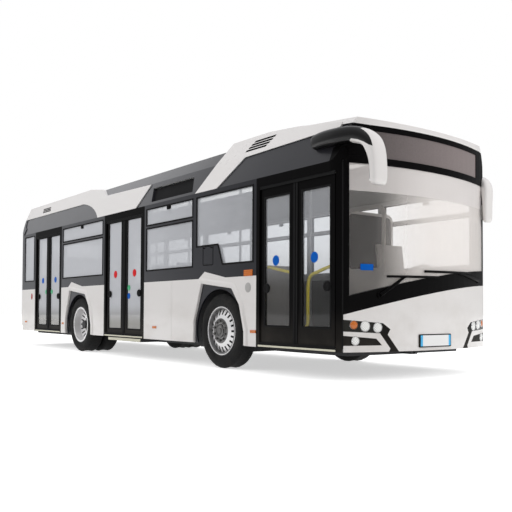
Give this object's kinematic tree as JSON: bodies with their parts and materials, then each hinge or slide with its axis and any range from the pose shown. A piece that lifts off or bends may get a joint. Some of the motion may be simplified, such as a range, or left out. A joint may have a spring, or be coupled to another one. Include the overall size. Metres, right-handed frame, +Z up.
{
  "type": "electric bus",
  "caption": "Low-floor electric city bus with a glazed hollow saloon, inward-swinging twin-leaf doors, steered front wheels and twin rear wheels.",
  "frame": {"origin": "on the ground below the middle of the bus, mirrors included", "axes": "+X forward, +Y to the driver's side, +Z up"},
  "size_m": [10.375, 2.6781, 3.003],
  "materials": {
    "white_paint": "gloss",
    "grey_paint": "gloss",
    "black_trim": "gloss",
    "glass": "clear",
    "frame_steel": "matt",
    "floor_sheet": "matt",
    "pack_paint": "satin",
    "lamp_clear": "clear",
    "lamp_red": "gloss",
    "lamp_amber": "gloss",
    "wheel_paint": "satin",
    "tyre": "matt",
    "seat_shell": "satin",
    "rail": "satin",
    "cab_plastic": "matt",
    "drive_cover": "satin",
    "post_steel": "brushed"
  },
  "bodies": {
    "body": {"underframe": "frame_steel", "floor": "floor_sheet", "skirts": "white_paint", "arch_panels": "grey_paint", "side_band_right": "grey_paint", "side_band_left": "grey_paint", "door_portals": "black_trim", "door_drives": "drive_cover", "roof": "grey_paint", "front_fairing": "white_paint", "rear_fairing": "white_paint", "roof_packs": "pack_paint", "front_mask": "white_paint", "front_surround": "black_trim", "rear_wall": "white_paint", "windscreen": "glass", "windows": "glass", "front_lamps": "lamp_clear", "rear_lamps": "lamp_red", "side_markers": "lamp_amber", "mirrors": "white_paint", "mirror_arms": "black_trim", "wipers": "black_trim", "rear_pack": "pack_paint", "front_axle": "frame_steel", "rear_axle": "frame_steel", "seats": "seat_shell", "grab_rails": "rail", "driver_cab": "cab_plastic"},
    "rear_flap": {"rear_flap": "white_paint"},
    "charge_flap": {"charge_flap": "grey_paint"},
    "knuckle_right": {"knuckle_right": "frame_steel"},
    "knuckle_left": {"knuckle_left": "frame_steel"},
    "wheel_front_right": {"rim_front_right": "wheel_paint", "tyre_front_right": "tyre"},
    "wheel_front_left": {"rim_front_left": "wheel_paint", "tyre_front_left": "tyre"},
    "wheel_rear_right": {"rim_rear_right": "wheel_paint", "tyre_rear_right": "tyre"},
    "wheel_rear_left": {"rim_rear_left": "wheel_paint", "tyre_rear_left": "tyre"},
    "front_door_post_fore": {"front_door_post_fore": "post_steel"},
    "front_door_leaf_fore": {"front_door_leaf_fore": "black_trim", "front_door_pane_fore": "glass"},
    "front_door_post_aft": {"front_door_post_aft": "post_steel"},
    "front_door_leaf_aft": {"front_door_leaf_aft": "black_trim", "front_door_pane_aft": "glass"},
    "middle_door_post_fore": {"middle_door_post_fore": "post_steel"},
    "middle_door_leaf_fore": {"middle_door_leaf_fore": "black_trim", "middle_door_pane_fore": "glass"},
    "middle_door_post_aft": {"middle_door_post_aft": "post_steel"},
    "middle_door_leaf_aft": {"middle_door_leaf_aft": "black_trim", "middle_door_pane_aft": "glass"},
    "rear_door_post_fore": {"rear_door_post_fore": "post_steel"},
    "rear_door_leaf_fore": {"rear_door_leaf_fore": "black_trim", "rear_door_pane_fore": "glass"},
    "rear_door_post_aft": {"rear_door_post_aft": "post_steel"},
    "rear_door_leaf_aft": {"rear_door_leaf_aft": "black_trim", "rear_door_pane_aft": "glass"}
  },
  "joints": [
    {"name": "steer_right", "type": "hinge", "parent": "body", "child": "knuckle_right", "pos_m": [2.5325, -0.985, 0.4785], "axis": [0, 0, 1], "range_deg": [-45, 45]},
    {"name": "steer_left", "type": "hinge", "parent": "body", "child": "knuckle_left", "pos_m": [2.5325, 0.985, 0.4785], "axis": [0, 0, 1], "range_deg": [-45, 45]},
    {"name": "spin_front_right", "type": "hinge", "parent": "knuckle_right", "child": "wheel_front_right", "pos_m": [2.5325, 0, 0.4785], "axis": [0, 1, 0], "continuous": true},
    {"name": "spin_front_left", "type": "hinge", "parent": "knuckle_left", "child": "wheel_front_left", "pos_m": [2.5325, 0, 0.4785], "axis": [0, 1, 0], "continuous": true},
    {"name": "spin_rear_right", "type": "hinge", "parent": "body", "child": "wheel_rear_right", "pos_m": [-1.9175, 0, 0.4785], "axis": [0, 1, 0], "continuous": true},
    {"name": "spin_rear_left", "type": "hinge", "parent": "body", "child": "wheel_rear_left", "pos_m": [-1.9175, 0, 0.4785], "axis": [0, 1, 0], "continuous": true},
    {"name": "rear_flap_lift", "type": "hinge", "parent": "body", "child": "rear_flap", "pos_m": [-5.1795, 0, 1.3], "axis": [0, 1, 0], "range_deg": [0, 80]},
    {"name": "charge_flap_lift", "type": "hinge", "parent": "body", "child": "charge_flap", "pos_m": [2.2875, -1.267, 1.565], "axis": [-1, 0, 0], "range_deg": [0, 100]},
    {"name": "front_post_fore", "type": "hinge", "parent": "body", "child": "front_door_post_fore", "pos_m": [4.6965, -1.17, 0.34], "axis": [0, 0, -1], "range_deg": [0, 79]},
    {"name": "front_leaf_fore", "type": "hinge", "parent": "front_door_post_fore", "child": "front_door_leaf_fore", "pos_m": [4.3785, -1.17, 0.34], "axis": [0, 0, 1], "range_deg": [0, 158]},
    {"name": "front_post_aft", "type": "hinge", "parent": "body", "child": "front_door_post_aft", "pos_m": [3.3685, -1.17, 0.34], "axis": [0, 0, 1], "range_deg": [0, 79]},
    {"name": "front_leaf_aft", "type": "hinge", "parent": "front_door_post_aft", "child": "front_door_leaf_aft", "pos_m": [3.6865, -1.17, 0.34], "axis": [0, 0, -1], "range_deg": [0, 158]},
    {"name": "middle_post_fore", "type": "hinge", "parent": "body", "child": "middle_door_post_fore", "pos_m": [0.5065, -1.17, 0.34], "axis": [0, 0, -1], "range_deg": [0, 79]},
    {"name": "middle_leaf_fore", "type": "hinge", "parent": "middle_door_post_fore", "child": "middle_door_leaf_fore", "pos_m": [0.1885, -1.17, 0.34], "axis": [0, 0, 1], "range_deg": [0, 158]},
    {"name": "middle_post_aft", "type": "hinge", "parent": "body", "child": "middle_door_post_aft", "pos_m": [-0.8215, -1.17, 0.34], "axis": [0, 0, 1], "range_deg": [0, 79]},
    {"name": "middle_leaf_aft", "type": "hinge", "parent": "middle_door_post_aft", "child": "middle_door_leaf_aft", "pos_m": [-0.5035, -1.17, 0.34], "axis": [0, 0, -1], "range_deg": [0, 158]},
    {"name": "rear_post_fore", "type": "hinge", "parent": "body", "child": "rear_door_post_fore", "pos_m": [-2.7535, -1.17, 0.34], "axis": [0, 0, -1], "range_deg": [0, 79]},
    {"name": "rear_leaf_fore", "type": "hinge", "parent": "rear_door_post_fore", "child": "rear_door_leaf_fore", "pos_m": [-3.0715, -1.17, 0.34], "axis": [0, 0, 1], "range_deg": [0, 158]},
    {"name": "rear_post_aft", "type": "hinge", "parent": "body", "child": "rear_door_post_aft", "pos_m": [-4.0815, -1.17, 0.34], "axis": [0, 0, 1], "range_deg": [0, 79]},
    {"name": "rear_leaf_aft", "type": "hinge", "parent": "rear_door_post_aft", "child": "rear_door_leaf_aft", "pos_m": [-3.7635, -1.17, 0.34], "axis": [0, 0, -1], "range_deg": [0, 158]}
  ],
  "couplings": [
    {"joint": "steer_left", "follows": "steer_right", "ratio": 1},
    {"joint": "front_leaf_fore", "follows": "front_post_fore", "ratio": 2},
    {"joint": "front_post_aft", "follows": "front_post_fore", "ratio": 1},
    {"joint": "front_leaf_aft", "follows": "front_post_fore", "ratio": 2},
    {"joint": "middle_leaf_fore", "follows": "middle_post_fore", "ratio": 2},
    {"joint": "middle_post_aft", "follows": "middle_post_fore", "ratio": 1},
    {"joint": "middle_leaf_aft", "follows": "middle_post_fore", "ratio": 2},
    {"joint": "rear_leaf_fore", "follows": "rear_post_fore", "ratio": 2},
    {"joint": "rear_post_aft", "follows": "rear_post_fore", "ratio": 1},
    {"joint": "rear_leaf_aft", "follows": "rear_post_fore", "ratio": 2}
  ]
}
